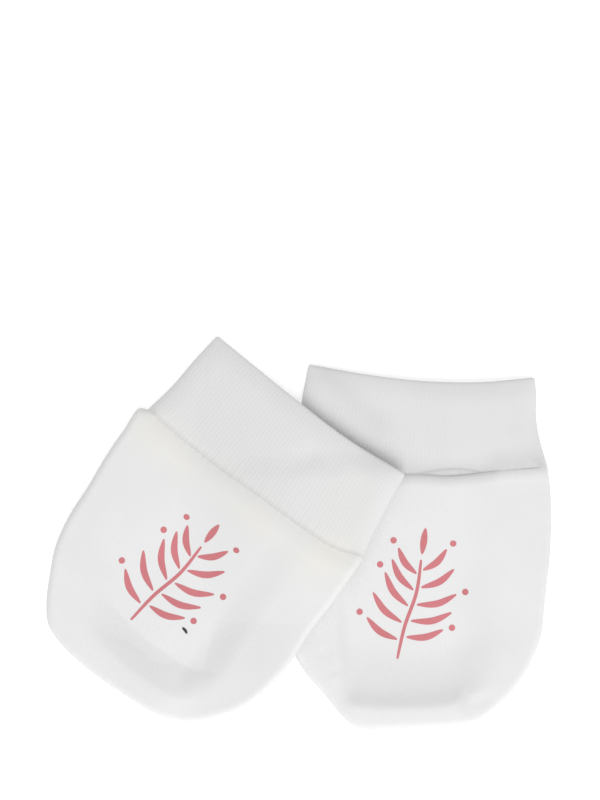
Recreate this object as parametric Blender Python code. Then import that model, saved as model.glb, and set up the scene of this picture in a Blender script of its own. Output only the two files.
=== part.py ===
"""A pair of newborn's mittens in soft white cotton, laid flat, the left one lapping over the right.

Each mitten is sewn from three pieces of cloth: a front and a back, cut alike and joined all round
the fingertips, and a tube of fine ribbing, folded double, that closes round the wrist.

Metres, +Z up. The origin is under the middle of the pair, on the surface that it lies on.
Each mitten is drawn in its own frame first: x runs across it, y from the fingertips to the mouth
of the cuff, and (0, 0) is the middle of the wrist seam.
"""

import math
from collections import namedtuple

import bpy
import numpy as np

# Driving sizes of one mitten, laid flat
HALF_WIDTH = 0.0380  # half the width of the hand
HAND_LENGTH = 0.0710  # wrist seam to fingertip edge
CUFF_LENGTH = 0.0280  # wrist seam to the folded mouth
PANEL_WALL = 0.0012  # the hand's cloth
CUFF_WALL = 0.0019  # the ribbing, folded double
SEAM_GAP = 0.0003  # left between pieces that are sewn together

# How the cloth lies: heights above the surface, and the roundness of its edges
SEAM_HEIGHT = 0.0019  # of the side seam
FRONT_RISE = 0.0031  # of the front above the side seam
FRONT_CROWN = 0.0006  # more in the middle of the hand
CROWN_REACH = 0.0300  # from the sewn edge to the full crown
FRONT_ROUND = 0.0028  # from the sewn edge to the full rise
FRONT_POWER = 2.6  # of its round edge: 2 is a quarter of a circle, more is squarer
BACK_ROUND = 0.0024  # from the sewn edge to where the back lies flat
CUFF_RISE = 0.0027  # of the cuff above the side seam
CUFF_ROUND = 0.0066  # from the cuff's side edge to the full rise, on top
CUFF_UNDER_ROUND = 0.0030  # and underneath
CUFF_DROOP = 0.0006  # of the top at the mouth
DROOP_REACH = 0.0058
BOW_REACH = 0.0240  # how far from the wrist seam the cloth follows its bowed line

# How the left mitten climbs over the edge of the right one, whose frame these are in
LAP_RUN_TIPS = 0.0190  # it starts to rise this far outside that edge by the fingertips
LAP_RUN_WRIST = 0.0280  # and this far by the wrist
LAP_RUN_FROM = -0.0450  # where the one starts to change into the other
LAP_RUN_OVER = 0.0350  # and over how much of the length
LAP_REACH = 0.0030  # it has climbed this far inside the edge
LAP_TILT = 0.07  # its slope further in
LAP_TILTED = 0.0120  # and how far that goes
LAP_CLEAR = 0.0004  # left between the two
LAP_BLEND = 0.0080  # its step down from the hand to the cuff
LAP_STRAIGHT_FROM = -0.0400  # past here it takes no notice of the right one's rounded corner
LAP_STRAIGHT = 0.0500  # and goes on for this far
LAP_LEAN = 0.26  # outwards, as a share of that

# Grids
CURVE_POINTS = 200  # on a smooth curve through a table
HAND_COLUMNS = 26
HAND_ROW = 0.0030  # the most between two rows of the hand
WRIST_ROWS = (0.0012, 0.0028)  # rows of the hand by the wrist seam
EDGE_STEPS = (1.0, 0.65, 0.35, 0.15, 0.04, 0.0)  # and by the fingertips, of FRONT_ROUND
CUFF_COLUMNS = 20
CUFF_STEPS = (0.0, 0.08, 0.20, 0.36, 0.52, 0.68, 0.84, 1.0)  # of the way to the mouth
FOLD_STEPS = 4  # round the folded mouth

# Lengthwise and crosswise sizes in these tables are shares of the driving sizes above
Outline = namedtuple("Outline", "along left right")  # of HAND_LENGTH from the wrist, of HALF_WIDTH
CuffSide = namedtuple("CuffSide", "along left right")  # of the way to the mouth, of HALF_WIDTH
Mouth = namedtuple("Mouth", "across length")  # of the way from left to right, of CUFF_LENGTH
Seam = namedtuple("Seam", "across drop")  # of HALF_WIDTH from the middle; metres towards the tips
AtSeam = namedtuple("AtSeam", "height reach")  # metres: of a change of height at the wrist seam
Place = namedtuple("Place", "x y")  # metres, in the mitten's own frame
Crest = namedtuple("Crest", "height up down")  # metres: half widths up the hand and to the tips
Sag = namedtuple("Sag", "depth onset reach power back")  # metres, and a power: 1 is an even slope
Ridge = namedtuple("Ridge", "line crest sag fades")  # fades: shares of its width, left and right
Fold = namedtuple("Fold", "start end half_width depth")  # metres, in the mitten's own frame
Mitten = namedtuple(
    "Mitten",
    "name wrist turn hand cuff mouth seam hand_dip cuff_lip ridge hand_folds cuff_folds lapped",
)

RIGHT_HAND = (
    Outline(0.000, 0.966, 0.963),
    Outline(0.099, 1.003, 0.976),
    Outline(0.310, 1.026, 0.957),
    Outline(0.500, 1.020, 0.903),
    Outline(0.662, 0.985, 0.853),
    Outline(0.761, 0.893, 0.770),
    Outline(0.852, 0.762, 0.656),
    Outline(0.935, 0.648, 0.497),
    Outline(0.983, 0.550, 0.350),
    Outline(1.000, 0.430, 0.158),
)
RIGHT_CUFF = (
    CuffSide(0.00, 0.966, 0.963),
    CuffSide(0.27, 0.911, 0.921),
    CuffSide(0.52, 0.855, 0.900),
    CuffSide(0.78, 0.803, 0.908),
    CuffSide(1.00, 0.758, 0.905),
)
RIGHT_MOUTH = (
    Mouth(0.00, 1.145),
    Mouth(0.24, 1.025),
    Mouth(0.50, 0.928),
    Mouth(0.77, 0.887),
    Mouth(1.00, 0.905),
)
RIGHT_SEAM = (
    Seam(-1.00, -0.0004),
    Seam(-0.40, -0.0004),
    Seam(-0.07, -0.0003),
    Seam(0.05, 0.0002),
    Seam(0.20, 0.0011),
    Seam(0.35, 0.0010),
    Seam(0.55, 0.0005),
    Seam(0.80, 0.0003),
    Seam(1.00, 0.0000),
)
RIGHT_RIDGE_LINE = (  # over the edge of the seam allowance inside the fingertips
    Place(-0.0262, -0.0637),
    Place(-0.0172, -0.0652),
    Place(-0.0074, -0.0660),
    Place(0.0010, -0.0661),
    Place(0.0060, -0.0657),
    Place(0.0095, -0.0647),
    Place(0.0130, -0.0629),
    Place(0.0160, -0.0619),
    Place(0.0215, -0.0602),
)
RIGHT_HAND_FOLDS = (Fold((-0.0292, -0.0462), (-0.0255, -0.0560), 0.0026, 0.0003),)
RIGHT_CUFF_FOLDS = (
    Fold((0.0225, 0.0010), (0.0385, 0.0010), 0.0036, 0.0004),
    Fold((0.0268, 0.0235), (0.0274, 0.0120), 0.0026, 0.0003),
    Fold((-0.0340, -0.0020), (-0.0315, 0.0320), 0.0125, 0.0008),
)

LEFT_HAND = (
    Outline(0.000, 0.966, 0.966),
    Outline(0.024, 1.028, 0.967),
    Outline(0.221, 1.032, 0.958),
    Outline(0.389, 1.021, 0.938),
    Outline(0.527, 1.011, 0.945),
    Outline(0.655, 0.970, 0.908),
    Outline(0.744, 0.905, 0.855),
    Outline(0.870, 0.776, 0.700),
    Outline(0.925, 0.690, 0.595),
    Outline(0.959, 0.545, 0.484),
    Outline(0.983, 0.303, 0.345),
    Outline(0.990, 0.105, 0.184),
)
LEFT_CUFF = (
    CuffSide(0.00, 0.955, 0.950),
    CuffSide(0.36, 0.905, 0.925),
    CuffSide(0.67, 0.880, 0.900),
    CuffSide(1.00, 0.832, 0.880),
)
LEFT_MOUTH = (
    Mouth(0.00, 0.995),
    Mouth(0.20, 0.950),
    Mouth(0.45, 0.897),
    Mouth(0.72, 0.860),
    Mouth(1.00, 0.885),
)
LEFT_SEAM = (
    Seam(-1.00, -0.0002),
    Seam(-0.70, 0.0015),
    Seam(-0.30, 0.0027),
    Seam(0.10, 0.0031),
    Seam(0.45, 0.0036),
    Seam(0.78, 0.0031),
    Seam(0.92, 0.0015),
    Seam(1.00, 0.0011),
)
LEFT_RIDGE_LINE = (
    Place(-0.0210, -0.0615),
    Place(-0.0126, -0.0640),
    Place(-0.0022, -0.0654),
    Place(0.0079, -0.0662),
    Place(0.0138, -0.0650),
    Place(0.0188, -0.0618),
    Place(0.0230, -0.0580),
)
LEFT_HAND_FOLDS = (Fold((0.0138, -0.0380), (0.0175, -0.0546), 0.0040, 0.0004),)
LEFT_CUFF_FOLDS = (
    Fold((0.0040, 0.0060), (0.0100, 0.0180), 0.0030, 0.0002),
    Fold((-0.0355, -0.0020), (-0.0325, 0.0280), 0.0125, 0.0006),
)

RIGHT_MITTEN = Mitten(
    name="right_mitten",
    wrist=(0.0331, 0.0167),
    turn=math.radians(2.85),
    hand=RIGHT_HAND,
    cuff=RIGHT_CUFF,
    mouth=RIGHT_MOUTH,
    seam=RIGHT_SEAM,
    hand_dip=AtSeam(0.0014, 0.0036),
    cuff_lip=AtSeam(0.0012, 0.0056),
    ridge=Ridge(
        line=RIGHT_RIDGE_LINE,
        crest=Crest(0.0009, 0.0042, 0.0060),
        sag=Sag(0.0026, 0.0022, 0.0145, 2, 0.0500),
        fades=(0.13, 0.26),
    ),
    hand_folds=RIGHT_HAND_FOLDS,
    cuff_folds=RIGHT_CUFF_FOLDS,
    lapped=None,
)
LEFT_MITTEN = Mitten(
    name="left_mitten",
    wrist=(-0.0119, 0.0147),
    turn=math.radians(-33.6),
    hand=LEFT_HAND,
    cuff=LEFT_CUFF,
    mouth=LEFT_MOUTH,
    seam=LEFT_SEAM,
    hand_dip=AtSeam(0.0010, 0.0060),
    cuff_lip=AtSeam(0.0005, 0.0016),
    ridge=Ridge(
        line=LEFT_RIDGE_LINE,
        crest=Crest(0.0003, 0.0050, 0.0070),
        sag=Sag(0.0025, 0.0014, 0.0084, 1, 0.0600),
        fades=(0.40, 0.25),
    ),
    hand_folds=LEFT_HAND_FOLDS,
    cuff_folds=LEFT_CUFF_FOLDS,
    lapped=RIGHT_MITTEN,
)

COTTON_WHITE = (0.83, 0.83, 0.83, 1.0)
RIB_WHITE = (0.76, 0.76, 0.76, 1.0)
COTTON_ROUGHNESS = 0.9


# Curves and measures in the plane


def smooth_curve(table):
    """Points on a smooth curve through the rows of a table, as an array with the table's columns."""
    rows = np.array(table, float)
    knots = np.concatenate([[0.0], np.cumsum(np.linalg.norm(np.diff(rows, axis=0), axis=1))])
    slopes = np.gradient(rows, knots, axis=0)
    places = np.linspace(0.0, knots[-1], CURVE_POINTS)
    k = np.clip(np.searchsorted(knots, places, side="right") - 1, 0, len(knots) - 2)
    step = (knots[k + 1] - knots[k])[:, None]
    t = (places - knots[k])[:, None] / step
    start = (1 + 2 * t) * (1 - t) ** 2 * rows[k] + t * (1 - t) ** 2 * step * slopes[k]
    end = t**2 * (3 - 2 * t) * rows[k + 1] + t**2 * (t - 1) * step * slopes[k + 1]
    return start + end


def inset_from(edge, points):
    """How far each point lies to the left of a line of points, and the way there from the line."""
    start, run = edge[:-1], np.diff(edge, axis=0)
    length = np.linalg.norm(run, axis=1)
    from_start = points[:, None] - start
    share = np.clip((from_start * run).sum(axis=2) / length**2, 0.0, 1.0)
    off = from_start - share[..., None] * run
    nearest = np.linalg.norm(off, axis=2).argmin(axis=1)
    inward = (np.stack([-run[:, 1], run[:, 0]], axis=1) / length[:, None])[nearest]
    off = off[np.arange(len(points)), nearest]
    side = np.where((off * inward).sum(axis=1) < 0, -1.0, 1.0)
    return side * np.linalg.norm(off, axis=1), inward


def quarter_round(share, power=2.0):
    """0 at the edge and 1 from share 1 on, along a quarter of a circle, or squarer above power 2."""
    return (1 - (1 - np.clip(share, 0.0, 1.0)) ** power) ** (1 / power)


def eased_out(share):
    """1 at the start, and slowing to 0 at share 1."""
    return (1 - np.clip(share, 0.0, 1.0)) ** 2


def smooth_step(share):
    """0 up to the start and 1 from share 1 on, level at both."""
    share = np.clip(share, 0.0, 1.0)
    return share**2 * (3 - 2 * share)


def by_seam(change, distance):
    """A change of height that is full at the wrist seam and eases out over its reach."""
    return change.height * eased_out(distance / change.reach)


def fold_depth(points, folds):
    """How deep the folds' troughs are at each point."""
    depth = np.zeros(len(points))
    for fold in folds:
        start, run = np.array(fold.start), np.subtract(fold.end, fold.start)
        share = np.clip((points - start) @ run / (run @ run), 0.0, 1.0)
        away = np.linalg.norm(points - start - share[:, None] * run, axis=1)
        depth += fold.depth * np.exp(-((away / fold.half_width) ** 2))
    return depth


def tip_sag(points, ridge):
    """How far the hand lies below its full rise, going up it from the ridge inside its fingertips.

    Its slope sets in over the onset, eases out over the reach by a power, and the hand then comes
    back to its full rise. The crest of the ridge is higher by a bell curve.
    """
    x, y = smooth_curve(ridge.line).T
    distance = points[:, 1] - np.interp(points[:, 0], x, y)
    begun = np.clip(distance, 0.0, ridge.sag.onset)
    gone = begun**2 / (2 * ridge.sag.onset) + np.maximum(distance - ridge.sag.onset, 0.0)
    sag = 1 - (1 - np.clip(gone / ridge.sag.reach, 0.0, 1.0)) ** ridge.sag.power
    back = np.clip((gone - ridge.sag.reach) / ridge.sag.back, 0.0, 1.0)
    sag *= ridge.sag.depth * (1 - (back + smooth_step(back)) / 2)
    half_width = np.where(distance > 0, ridge.crest.up, ridge.crest.down)
    sag -= ridge.crest.height * np.exp(-((distance / half_width) ** 2))
    from_left = (points[:, 0] - x[0]) / (x[-1] - x[0])
    fade_left, fade_right = ridge.fades
    return sag * smooth_step(from_left / fade_left) * smooth_step((1 - from_left) / fade_right)


# The hand: a front and a back


def hand_sides(mitten):
    """The hand's outline as rows of distance from the wrist seam, and widths to the left and right."""
    return smooth_curve(mitten.hand) * (HAND_LENGTH, HALF_WIDTH, HALF_WIDTH)


def sewn_edge(mitten):
    """The seam round the hand: down the left side, along the fingertips and up the right side."""
    along, left, right = hand_sides(mitten).T
    down = np.stack([-left, -along], axis=1)
    up = np.stack([right, -along], axis=1)[::-1]
    return np.concatenate([down, up])


def hand_rows(length):
    """Distances from the wrist seam of the hand's rows, closer together at both ends."""
    first = [SEAM_GAP / 2, *WRIST_ROWS]
    last = [length - share * FRONT_ROUND for share in EDGE_STEPS]
    count = math.ceil((last[0] - first[-1]) / HAND_ROW)
    middle = np.linspace(first[-1], last[0], count + 1)[1:-1]
    return np.concatenate([first, middle, last])


def hand_grid(mitten):
    """The hand's grid of points from wrist to fingertips, its inset and the way in from the seam."""
    sides = hand_sides(mitten)
    rows = hand_rows(sides[-1, 0])
    left = np.interp(rows, sides[:, 0], sides[:, 1])
    right = np.interp(rows, sides[:, 0], sides[:, 2])
    across = (1 - np.cos(np.linspace(0.0, math.pi, HAND_COLUMNS + 1))) / 2
    x = -left[:, None] + (left + right)[:, None] * across
    y = np.broadcast_to(-rows[:, None], x.shape)
    points = np.stack([x, y], axis=2)
    inset, inward = inset_from(sewn_edge(mitten), points.reshape(-1, 2))
    inset = inset.reshape(x.shape)
    inset[:, 0] = inset[:, -1] = inset[-1] = 0.0
    return points, inset, inward.reshape(points.shape)


def moved_in(points, inset, inward, wall):
    """The grid of a wall's inner side: its edge lies one wall in, and its middle stays."""
    middle = 2 * FRONT_ROUND
    shift = wall * (1 - np.minimum(inset / middle, 1.0))
    return points + shift[..., None] * inward, inset + shift - wall


def front_surface(mitten, grid, wall):
    """The front's outer side, or with a wall its inner side, as points in the mitten's frame."""
    points, inset, inward = grid
    flat = points.reshape(-1, 2)
    rise = FRONT_RISE + FRONT_CROWN * smooth_step(inset / CROWN_REACH)
    rise -= by_seam(mitten.hand_dip, -points[..., 1])
    rise -= (tip_sag(flat, mitten.ridge) + fold_depth(flat, mitten.hand_folds)).reshape(inset.shape)
    if wall:
        points, inset = moved_in(points, inset, inward, wall)
    bulge = quarter_round(inset / (FRONT_ROUND - wall), FRONT_POWER)
    z = SEAM_HEIGHT + SEAM_GAP / 2 + (rise - wall) * bulge
    return np.concatenate([points, z[..., None]], axis=2)


def back_surface(grid, wall):
    """The back's outer side, flat but for its edge, or with a wall its inner side."""
    points, inset, inward = grid
    top = SEAM_HEIGHT - SEAM_GAP / 2
    if wall:
        points, inset = moved_in(points, inset, inward, wall)
    z = top - (top - wall) * quarter_round(inset / (BACK_ROUND - wall))
    return np.concatenate([points, z[..., None]], axis=2)


# The cuff: one flattened tube


def cuff_ring(mitten, share, depth):
    """One ring round the cuff, at a share of the way to its mouth and a depth into its wall."""
    sides = smooth_curve(mitten.cuff)
    left = np.interp(share, sides[:, 0], sides[:, 1]) * HALF_WIDTH
    right = np.interp(share, sides[:, 0], sides[:, 2]) * HALF_WIDTH
    across = (1 - np.cos(np.linspace(0.0, math.pi, CUFF_COLUMNS + 1))) / 2
    wide = (left + right) * across
    x = depth - left + wide * (1 - 2 * depth / (left + right))
    length = np.interp(across, *smooth_curve(mitten.mouth).T) * CUFF_LENGTH
    y = SEAM_GAP / 2 + share * (length - SEAM_GAP / 2)
    inset = np.minimum(x + left - depth, right - depth - x)
    rise = CUFF_RISE + by_seam(mitten.cuff_lip, y)
    rise -= CUFF_DROOP * eased_out((length - y) / DROOP_REACH)
    rise -= fold_depth(np.stack([x, y], axis=1), mitten.cuff_folds)
    above = (rise - depth) * quarter_round(inset / (CUFF_ROUND - depth))
    below = (SEAM_HEIGHT - depth) * quarter_round(inset / (CUFF_UNDER_ROUND - depth))
    top = np.column_stack([x, y, SEAM_HEIGHT + above])
    under = np.column_stack([x, y, SEAM_HEIGHT - below])
    return np.concatenate([top, under[-2:0:-1]])


def cuff_rings(mitten):
    """Rings up the outside of the cuff, round its folded mouth and down the inside."""
    half_fold = CUFF_WALL / 2
    straight = 1 - half_fold / CUFF_LENGTH
    up = [(share * straight, 0.0) for share in CUFF_STEPS]
    turns = [math.pi * k / FOLD_STEPS for k in range(1, FOLD_STEPS)]
    over = [
        (straight + (1 - straight) * math.sin(turn), half_fold * (1 - math.cos(turn)))
        for turn in turns
    ]
    down = [(share, CUFF_WALL) for share, _ in reversed(up)]
    return np.array([cuff_ring(mitten, share, depth) for share, depth in up + over + down])


# Where a mitten lies


def to_world(mitten, points):
    """Points of a mitten's frame, bowed with its wrist seam, turned and moved to their place."""
    cos, sin = math.cos(mitten.turn), math.sin(mitten.turn)
    x, y, z = points[..., 0], points[..., 1], points[..., 2]
    drop = np.interp(x / HALF_WIDTH, *smooth_curve(mitten.seam).T)
    y = y - drop * (1 - smooth_step(np.abs(y) / BOW_REACH))
    world = np.stack(
        [mitten.wrist[0] + x * cos - y * sin, mitten.wrist[1] + x * sin + y * cos, z], axis=-1
    )
    if mitten.lapped:
        flat = world[..., :2].reshape(-1, 2)
        world[..., 2] += lift_over(mitten.lapped, flat).reshape(z.shape)
    return world


def left_flank(mitten):
    """The left edge of a mitten, from the mouth of the cuff to where the hand starts to round off.

    From there it is a straight line that leans outwards, as the cloth over it is too stiff to
    follow the rounded corner.
    """
    along, left, _ = smooth_curve(mitten.cuff).T
    left_length = mitten.mouth[0].length * CUFF_LENGTH
    cuff = np.stack([-left * HALF_WIDTH, along * left_length], axis=1)
    hand = sewn_edge(mitten)[:CURVE_POINTS]
    hand = hand[hand[:, 1] > LAP_STRAIGHT_FROM]
    end = hand[-1] - LAP_STRAIGHT * np.array([LAP_LEAN, 1.0])
    return np.concatenate([cuff[:0:-1], hand, [end]])


def lift_over(mitten, world):
    """How far cloth is lifted, at places in the plane, to lie over this mitten's left side."""
    cos, sin = math.cos(mitten.turn), math.sin(mitten.turn)
    away = world - mitten.wrist
    own = np.stack([away @ (cos, sin), away @ (-sin, cos)], axis=1)
    inset, _ = inset_from(left_flank(mitten), own)
    hand_top = SEAM_HEIGHT + SEAM_GAP / 2 + FRONT_RISE + FRONT_CROWN
    cuff_top = SEAM_HEIGHT + CUFF_RISE
    top = hand_top + (cuff_top - hand_top) * smooth_step(own[:, 1] / LAP_BLEND)
    to_wrist = smooth_step((own[:, 1] - LAP_RUN_FROM) / LAP_RUN_OVER)
    run = LAP_RUN_TIPS + (LAP_RUN_WRIST - LAP_RUN_TIPS) * to_wrist
    share = np.clip((inset + run) / (run + LAP_REACH), 0.0, 1.0)
    climb = (top + LAP_CLEAR) * (share + smooth_step(share)) / 2
    return climb + LAP_TILT * np.clip(inset - LAP_REACH, 0.0, LAP_TILTED)


# Meshes


def closed_panel(outer, inner):
    """Corners and faces of a wall between two grids of points, joined all round their edges."""
    rows, columns = outer.shape[:2]
    index = np.arange(rows * columns).reshape(rows, columns)
    quads = np.stack(
        [index[:-1, :-1], index[1:, :-1], index[1:, 1:], index[:-1, 1:]], axis=2
    ).reshape(-1, 4)
    rim = np.concatenate(
        [index[0, :-1], index[:-1, -1], index[-1, :0:-1], index[:0:-1, 0]]
    )
    following, inside = np.roll(rim, -1), index.size
    walls = np.stack([rim, following, following + inside, rim + inside], axis=1)
    faces = np.concatenate([quads, quads[:, ::-1] + inside, walls])
    return np.concatenate([outer.reshape(-1, 3), inner.reshape(-1, 3)]), faces


def closed_tube(rings):
    """Corners and faces of a wall whose rings follow one another and come back to the first."""
    count, around = rings.shape[:2]
    index = np.arange(count * around).reshape(count, around)
    onward, across = np.roll(index, -1, axis=0), np.roll(index, -1, axis=1)
    both = np.roll(onward, -1, axis=1)
    faces = np.stack([index, across, both, onward], axis=2).reshape(-1, 4)
    return rings.reshape(-1, 3), faces


def add_piece(name, corners, faces, material, collection):
    """One piece of cloth as an object, smooth but for its cut edges."""
    mesh = bpy.data.meshes.new(name)
    mesh.from_pydata(corners.tolist(), [], faces.tolist())
    mesh.materials.append(material)
    mesh.shade_smooth()
    mesh.set_sharp_from_angle(angle=math.radians(60))
    piece = bpy.data.objects.new(name, mesh)
    collection.objects.link(piece)
    return piece


def cloth_material(name, colour):
    material = bpy.data.materials.new(name)
    material.use_nodes = True
    shader = material.node_tree.nodes["Principled BSDF"]
    shader.inputs["Base Color"].default_value = colour
    shader.inputs["Roughness"].default_value = COTTON_ROUGHNESS
    shader.inputs["Metallic"].default_value = 0.0
    return material


def add_mitten(mitten, jersey, ribbing, collection):
    grid = hand_grid(mitten)
    front = [to_world(mitten, front_surface(mitten, grid, wall)) for wall in (0, PANEL_WALL)]
    back = [to_world(mitten, back_surface(grid, wall)) for wall in (0, PANEL_WALL)]
    cuff = to_world(mitten, cuff_rings(mitten))
    add_piece(f"{mitten.name}_front", *closed_panel(*front), jersey, collection)
    corners, faces = closed_panel(*back)
    add_piece(f"{mitten.name}_back", corners, faces[:, ::-1], jersey, collection)
    add_piece(f"{mitten.name}_cuff", *closed_tube(cuff), ribbing, collection)


def main():
    for obj in list(bpy.data.objects):
        bpy.data.objects.remove(obj)
    pair = bpy.data.collections.new("baby_mittens")
    bpy.context.scene.collection.children.link(pair)
    jersey = cloth_material("cotton_jersey", COTTON_WHITE)
    ribbing = cloth_material("cotton_ribbing", RIB_WHITE)
    for mitten in (RIGHT_MITTEN, LEFT_MITTEN):
        add_mitten(mitten, jersey, ribbing, pair)


main()
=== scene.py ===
import math

import bpy
import numpy as np
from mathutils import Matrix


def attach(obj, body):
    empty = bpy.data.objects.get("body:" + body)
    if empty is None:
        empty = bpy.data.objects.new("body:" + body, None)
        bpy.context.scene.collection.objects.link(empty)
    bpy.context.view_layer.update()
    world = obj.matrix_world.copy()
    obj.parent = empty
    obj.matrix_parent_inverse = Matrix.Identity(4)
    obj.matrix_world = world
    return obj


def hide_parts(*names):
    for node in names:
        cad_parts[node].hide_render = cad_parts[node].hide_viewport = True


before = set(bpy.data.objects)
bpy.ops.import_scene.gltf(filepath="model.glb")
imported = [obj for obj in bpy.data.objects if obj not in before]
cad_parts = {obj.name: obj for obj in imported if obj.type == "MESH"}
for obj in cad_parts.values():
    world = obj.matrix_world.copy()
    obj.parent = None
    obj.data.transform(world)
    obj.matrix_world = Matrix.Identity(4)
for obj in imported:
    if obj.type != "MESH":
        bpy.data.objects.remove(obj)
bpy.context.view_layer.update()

# A pair of newborn's mittens in white cotton, laid flat, the left one lapping over the right.
# Metres, +Z up. Each mitten is drawn in its own frame: x across it, y from the fingertips to the
# mouth of the cuff, and (0, 0) in the middle of the wrist seam. placed() lays it where it is.

print("frame loaded:", ", ".join(sorted(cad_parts)))

# A crease is a soft trough along a path. Its row holds its depth, which is negative for a ridge,
# its half widths to the left and to the right of the path, and x and y of the path's points.
# A fingertip ridge is where the seam allowance inside lifts the front: the cloth sags behind it
# and comes back to its full height.
rightMitten = {
    "name": "right",
    "wrist": (0.0331, 0.0167),
    "turn": math.radians(2.85),
    # share of the length from the wrist, and shares of the half width to the left and right
    "handSides": [
        (0.000, 0.966, 0.963),
        (0.099, 1.003, 0.976),
        (0.310, 1.026, 0.957),
        (0.500, 1.020, 0.903),
        (0.662, 0.985, 0.853),
        (0.761, 0.893, 0.770),
        (0.852, 0.762, 0.656),
        (0.935, 0.648, 0.497),
        (0.983, 0.550, 0.350),
        (1.000, 0.430, 0.158),
    ],
    # share of the way to the mouth, and shares of the half width to the left and right
    "cuffSides": [
        (0.00, 0.966, 0.963),
        (0.27, 0.911, 0.921),
        (0.52, 0.855, 0.900),
        (0.78, 0.803, 0.908),
        (1.00, 0.758, 0.905),
    ],
    # share of the way from left to right, and share of the cuff's length
    "mouth": [(0.00, 1.145), (0.24, 1.025), (0.50, 0.928), (0.77, 0.887), (1.00, 0.905)],
    # share of the half width from the middle, and how far the wrist seam bows to the tips
    "seamBow": [
        (-1.00, -0.0004), (-0.40, -0.0004), (-0.07, -0.0003), (0.05, 0.0000), (0.20, 0.0007),
        (0.35, 0.0006), (0.55, 0.0001), (0.80, -0.0002), (1.00, -0.0006),
    ],
    # by the wrist seam the hand dips and the cuff lifts: a height, and its reach from the seam
    "handDip": (0.0014, 0.0036),
    "cuffLip": (0.0012, 0.0056),
    "tipRidge": {
        "path": [
            (-0.0262, -0.0637), (-0.0172, -0.0652), (-0.0074, -0.0660), (0.0010, -0.0661),
            (0.0060, -0.0657), (0.0095, -0.0647), (0.0130, -0.0629), (0.0160, -0.0619),
            (0.0215, -0.0602),
        ],
        "crest": (0.0009, 0.0042, 0.0060),  # height, and half widths up the hand and to the tips
        "sag": 0.0029,
        "onset": 0.0022,  # its slope sets in over this much
        "reach": 0.0160,  # and the sag is full this much further
        "power": 2,  # 1 is an even slope, 2 eases out
        "back": 0.0500,  # from there to the full height again
        "fade": (0.13, 0.31),  # share of its width in which it fades out at the left and right
    },
    "handCreases": [
        (0.0004, 0.0045, 0.0018, [
            (0.0075, -0.0632), (0.0100, -0.0652), (0.0122, -0.0672), (0.0140, -0.0700),
        ]),
        (-0.0008, 0.0030, 0.0030, [(0.0180, 0.0000), (0.0430, 0.0000)]),
        (0.0003, 0.0030, 0.0022, [(-0.0292, -0.0462), (-0.0255, -0.0560)]),
        (-0.0003, 0.0030, 0.0040, [(-0.0340, -0.0150), (-0.0290, -0.0470)]),
    ],
    "backCreases": [
        (0.0003, 0.0030, 0.0022, [(-0.0200, -0.0600), (0.0050, -0.0580), (0.0120, -0.0590)]),
        (0.0004, 0.0030, 0.0045, [(-0.0180, -0.0060), (-0.0120, -0.0240), (-0.0150, -0.0400)]),
        (0.0003, 0.0035, 0.0025, [(0.0150, -0.0120), (0.0210, -0.0330)]),
    ],
    "cuffCreases": [
        (0.0003, 0.0030, 0.0005, [
            (-0.0020, 0.0002), (0.0031, 0.0011), (0.0065, 0.0019), (0.0115, 0.0020),
            (0.0149, 0.0013), (0.0182, 0.0002), (0.0230, -0.0010),
        ]),
        (-0.0004, 0.0046, 0.0042, [(0.0180, 0.0010), (0.0430, 0.0010)]),
        (0.0003, 0.0026, 0.0026, [(0.0266, 0.0265), (0.0275, 0.0090)]),
        (0.0008, 0.0120, 0.0130, [(-0.0345, -0.0100), (-0.0310, 0.0400)]),
    ],
    "lapped": None,
}
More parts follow.
